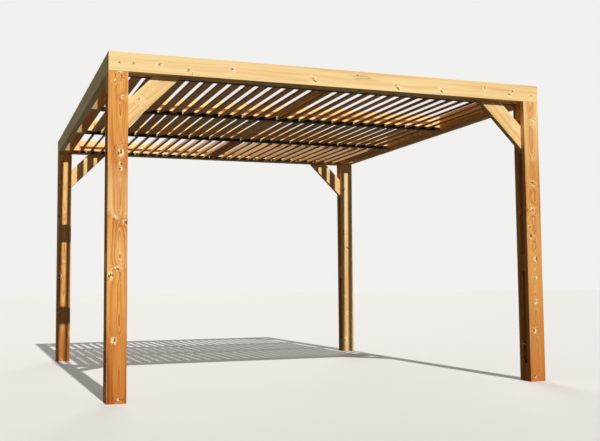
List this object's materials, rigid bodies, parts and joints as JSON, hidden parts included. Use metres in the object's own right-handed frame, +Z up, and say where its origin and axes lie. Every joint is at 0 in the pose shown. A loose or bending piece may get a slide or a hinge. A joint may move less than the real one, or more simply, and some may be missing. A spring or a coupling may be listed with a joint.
{
  "type": "wooden pergola",
  "caption": "Free-standing timber pergola: built-up posts with corner braces carry outer beams and cross-beams, between which rows of pivoting roof slats stand tilted.",
  "frame": {"origin": "on the ground under the middle of the roof", "axes": "+Z up, the front faces -Y, +X to the right seen from the front, the slats run along Y"},
  "size_m": [3.36, 3.83, 2.32],
  "materials": {
    "post_timber": "planed softwood, honey-orange stain, knotty",
    "beam_timber": "planed softwood, pale honey stain, knotty",
    "brace_timber": "planed softwood, pale honey stain",
    "slat_timber": "planed softwood boards, honey stain",
    "rail_timber": "planed softwood battens, honey stain",
    "dark_steel": "dark brown coated steel, matt",
    "bare_steel": "zinc-plated steel"
  },
  "bodies": {
    "root": {"beam_back_inner_board": "beam_timber", "beam_back_outer_board": "beam_timber", "beam_back_spacers": "beam_timber", "beam_front_inner_board": "beam_timber", "beam_front_outer_board": "beam_timber", "beam_front_spacers": "beam_timber", "beam_left_inner_board": "beam_timber", "beam_left_outer_board": "beam_timber", "beam_left_spacers": "beam_timber", "beam_right_inner_board": "beam_timber", "beam_right_outer_board": "beam_timber", "beam_right_spacers": "beam_timber", "bearing_angles_back_row": "dark_steel", "bearing_angles_front_row": "dark_steel", "bearing_angles_middle_row": "dark_steel", "brace_back_left": "brace_timber", "brace_back_right": "brace_timber", "brace_front_left": "brace_timber", "brace_front_right": "brace_timber", "crossbeam_back": "beam_timber", "crossbeam_front": "beam_timber", "middle_batten_back_row": "rail_timber", "middle_batten_front_row": "rail_timber", "middle_batten_middle_row": "rail_timber", "pivot_pins_back_row": "bare_steel", "pivot_pins_front_row": "bare_steel", "pivot_pins_middle_row": "bare_steel", "post_back_left_blocks": "post_timber", "post_back_left_inner_plank": "post_timber", "post_back_left_outer_plank": "post_timber", "post_back_right_blocks": "post_timber", "post_back_right_inner_plank": "post_timber", "post_back_right_outer_plank": "post_timber", "post_front_left_blocks": "post_timber", "post_front_left_inner_plank": "post_timber", "post_front_left_outer_plank": "post_timber", "post_front_right_blocks": "post_timber", "post_front_right_inner_plank": "post_timber", "post_front_right_outer_plank": "post_timber", "slat_rails_back_row": "rail_timber", "slat_rails_front_row": "rail_timber", "slat_rails_middle_row": "rail_timber", "slats_back_row": "slat_timber", "slats_front_row": "slat_timber", "slats_middle_row": "slat_timber"}
  },
  "joints": []
}
